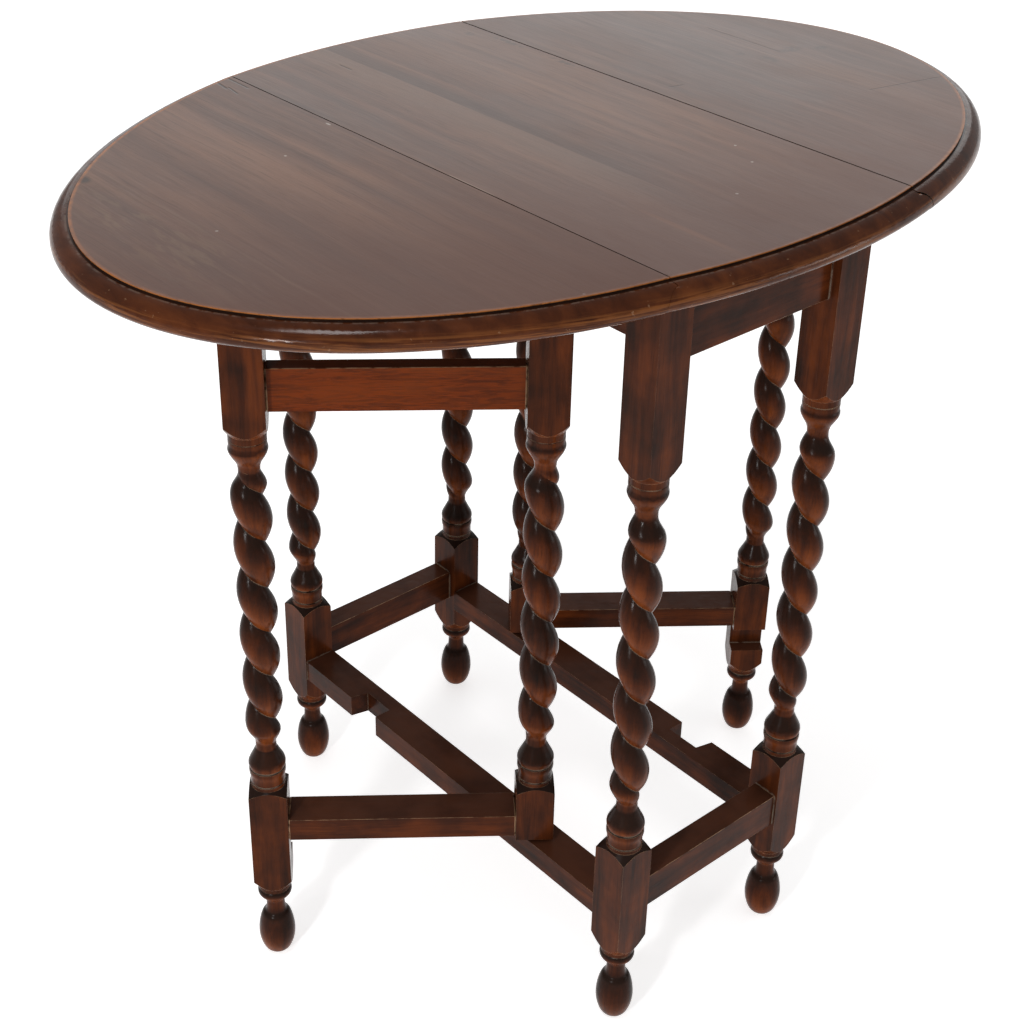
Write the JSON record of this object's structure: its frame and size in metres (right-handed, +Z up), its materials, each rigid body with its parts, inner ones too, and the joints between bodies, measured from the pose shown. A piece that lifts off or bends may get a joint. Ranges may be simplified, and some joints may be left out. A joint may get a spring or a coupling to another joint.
{
  "type": "gateleg table",
  "caption": "Oval gateleg side table with barley-twist legs, stretchers, a moulded edge and hinged leaves held up on swinging gates.",
  "frame": {"origin": "on the floor under the middle of the top", "axes": "+Z up, +X along the leaf joints, +Y across the leaves toward the back leaf"},
  "size_m": [0.578, 0.8259, 0.73],
  "materials": {
    "hinge_iron": "dull dark iron",
    "rails": "aged dark oak stain with a worn satin polish",
    "screw_steel": "dull steel",
    "stop_blocks": "aged dark oak stain with a worn satin polish",
    "top_boards": "aged dark oak stain with a worn satin polish",
    "turned_legs": "aged dark oak stain with a worn satin polish"
  },
  "bodies": {
    "frame": {"end_rail_left": "rails", "end_rail_right": "rails", "end_stretcher_left": "rails", "end_stretcher_right": "rails", "hinge_back_left_pin": "hinge_iron", "hinge_back_left_top_flap": "hinge_iron", "hinge_back_right_pin": "hinge_iron", "hinge_back_right_top_flap": "hinge_iron", "hinge_front_left_pin": "hinge_iron", "hinge_front_left_top_flap": "hinge_iron", "hinge_front_right_pin": "hinge_iron", "hinge_front_right_top_flap": "hinge_iron", "hinge_screws_top": "screw_steel", "leg_back_left": "turned_legs", "leg_back_right": "turned_legs", "leg_front_left": "turned_legs", "leg_front_right": "turned_legs", "side_rail_back": "rails", "side_rail_front": "rails", "side_stretcher_back": "rails", "side_stretcher_front": "rails", "top_centre": "top_boards", "top_fixing_screws": "screw_steel"},
    "gate_front": {"gate_front_bottom_rail": "rails", "gate_front_leg": "turned_legs", "gate_front_post": "turned_legs", "gate_front_top_rail": "rails"},
    "gate_back": {"gate_back_bottom_rail": "rails", "gate_back_leg": "turned_legs", "gate_back_post": "turned_legs", "gate_back_top_rail": "rails"},
    "leaf_front": {"hinge_front_left_leaf_flap": "hinge_iron", "hinge_front_right_leaf_flap": "hinge_iron", "hinge_screws_leaf_front": "screw_steel", "leaf_front": "top_boards", "leaf_stop_front": "stop_blocks"},
    "leaf_back": {"hinge_back_left_leaf_flap": "hinge_iron", "hinge_back_right_leaf_flap": "hinge_iron", "hinge_screws_leaf_back": "screw_steel", "leaf_back": "top_boards", "leaf_stop_back": "stop_blocks"}
  },
  "joints": [
    {"name": "gate_front_swing", "type": "hinge", "parent": "frame", "child": "gate_front", "pos_m": [0.1165, -0.0985, 0.135], "axis": [0, 0, -1], "range_deg": [0, 52]},
    {"name": "gate_back_swing", "type": "hinge", "parent": "frame", "child": "gate_back", "pos_m": [-0.1165, 0.0985, 0.135], "axis": [0, 0, -1], "range_deg": [0, 52]},
    {"name": "leaf_front_lift", "type": "hinge", "parent": "frame", "child": "leaf_front", "pos_m": [0, -0.126, 0.7125], "axis": [-1, 0, 0], "range_deg": [0, 2.5]},
    {"name": "leaf_back_lift", "type": "hinge", "parent": "frame", "child": "leaf_back", "pos_m": [0, 0.126, 0.7125], "axis": [1, 0, 0], "range_deg": [0, 2.5]}
  ]
}
